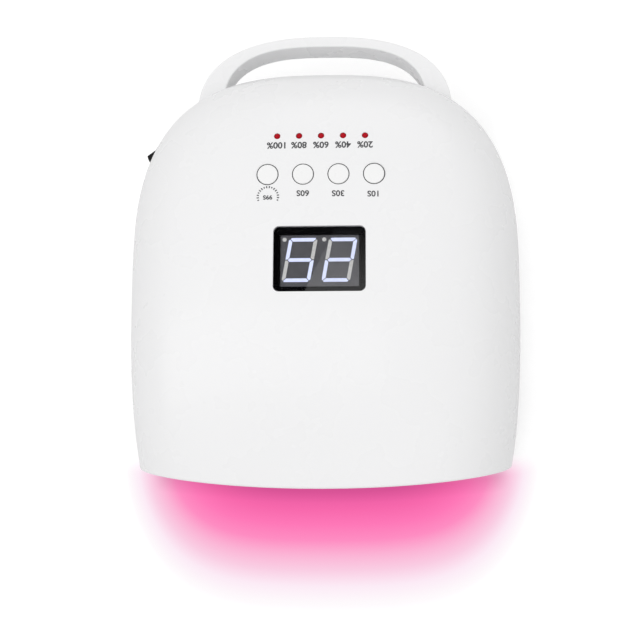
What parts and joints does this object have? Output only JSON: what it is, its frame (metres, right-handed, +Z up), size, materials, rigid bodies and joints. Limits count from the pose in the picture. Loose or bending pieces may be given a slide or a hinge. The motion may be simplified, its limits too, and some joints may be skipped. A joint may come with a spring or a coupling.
{
  "type": "uv led nail lamp",
  "caption": "Desk-top nail-curing lamp: domed white housing over a hand space lined with UV LEDs, with time keys, digit display, battery gauge, rocker switch, carrying loop and lift-off tray.",
  "frame": {"origin": "bottom centre of the lamp's bounding box, on the plane its rubber feet stand on", "axes": "+Z up; +Y from the mouth to the carrying loop; +X to the right for a client facing the mouth"},
  "size_m": [0.2012, 0.2394, 0.098],
  "materials": {
    "white_gloss": "glossy white ABS",
    "white_matte": "fine matt white ABS",
    "key_white": "glossy white key caps",
    "silver": "vacuum-metallised reflector",
    "black_gloss": "glossy black",
    "black_matte": "matt black",
    "rubber": "soft dark rubber",
    "mask_ink": "black printed film",
    "steel": "zinc-plated steel",
    "nickel": "bright nickel",
    "board_white": "white solder resist on aluminium board",
    "board_green": "green solder resist",
    "led_body": "moulded LED package",
    "uv_lens": "clear silicone dome, lit violet",
    "red_lens": "lit red epoxy",
    "segment_lit": "lit cool white",
    "segment_off": "unlit diffuser",
    "display_grey": "dark grey display face",
    "window": "clear glossy acrylic",
    "cell_wrap": "blue shrink sleeve",
    "copper": "enamelled copper wire",
    "can": "aluminium can with sleeve",
    "wire_red": "insulated wire",
    "wire_white": "insulated wire"
  },
  "bodies": {
    "tray": {"base_tray": "white_matte", "tray_discs": "steel", "rubber_feet": "rubber"},
    "housing": {"top_shell": "white_gloss", "mouth_bezel": "white_gloss", "handle": "white_gloss", "bottom_frame": "white_matte", "reflector_hood": "silver", "handle_screws": "steel", "housing_screws": "steel", "hood_screws": "steel", "board_screws": "steel", "driver_screws": "steel", "frame_magnets": "nickel", "led_board_top": "board_white", "led_board_left": "board_white", "led_board_right": "board_white", "led_board_rear": "board_white", "uv_leds": "led_body", "uv_led_lenses": "uv_lens", "control_board": "board_green", "board_chips": "black_matte", "display_module": "display_grey", "display_pins": "nickel", "display_lit": "segment_lit", "display_unlit": "segment_off", "display_mask": "mask_ink", "key_seals": "rubber", "display_window": "window", "indicator_lenses": "red_lens", "indicator_leads": "nickel", "tact_switches": "black_matte", "battery_cells": "cell_wrap", "battery_spacers": "black_matte", "battery_strips": "nickel", "bms_board": "board_green", "driver_board": "board_green", "driver_coils": "black_matte", "coil_windings": "copper", "driver_capacitors": "can", "connectors": "white_matte", "dc_jack": "black_matte", "jack_pin": "nickel", "switch_housing": "black_gloss", "switch_terminals": "nickel", "battery_leads": "wire_red", "switch_leads": "wire_red", "jack_leads": "wire_red", "led_leads": "wire_white", "control_leads": "wire_white"},
    "button_10s_key": {"button_10s": "key_white", "plunger_10s": "black_matte"},
    "button_30s_key": {"button_30s": "key_white", "plunger_30s": "black_matte"},
    "button_60s_key": {"button_60s": "key_white", "plunger_60s": "black_matte"},
    "button_99s_key": {"button_99s": "key_white", "plunger_99s": "black_matte"},
    "rocker": {"power_rocker": "black_gloss"}
  },
  "joints": [
    {"name": "housing_lift", "type": "slide", "parent": "tray", "child": "housing", "axis": [0, 0, 1], "range_m": [0, 0.06]},
    {"name": "press_10s", "type": "slide", "parent": "housing", "child": "button_10s_key", "axis": [0, 0, -1], "range_m": [0, 0.0005]},
    {"name": "press_30s", "type": "slide", "parent": "housing", "child": "button_30s_key", "axis": [0, 0, -1], "range_m": [0, 0.0005]},
    {"name": "press_60s", "type": "slide", "parent": "housing", "child": "button_60s_key", "axis": [0, 0, -1], "range_m": [0, 0.0005]},
    {"name": "press_99s", "type": "slide", "parent": "housing", "child": "button_99s_key", "axis": [0, 0, -1], "range_m": [0, 0.0005]},
    {"name": "rocker_tilt", "type": "hinge", "parent": "housing", "child": "rocker", "pos_m": [-0.08738, 0.06089, 0.042], "axis": [0, 0, 1], "range_deg": [0, 28]}
  ]
}
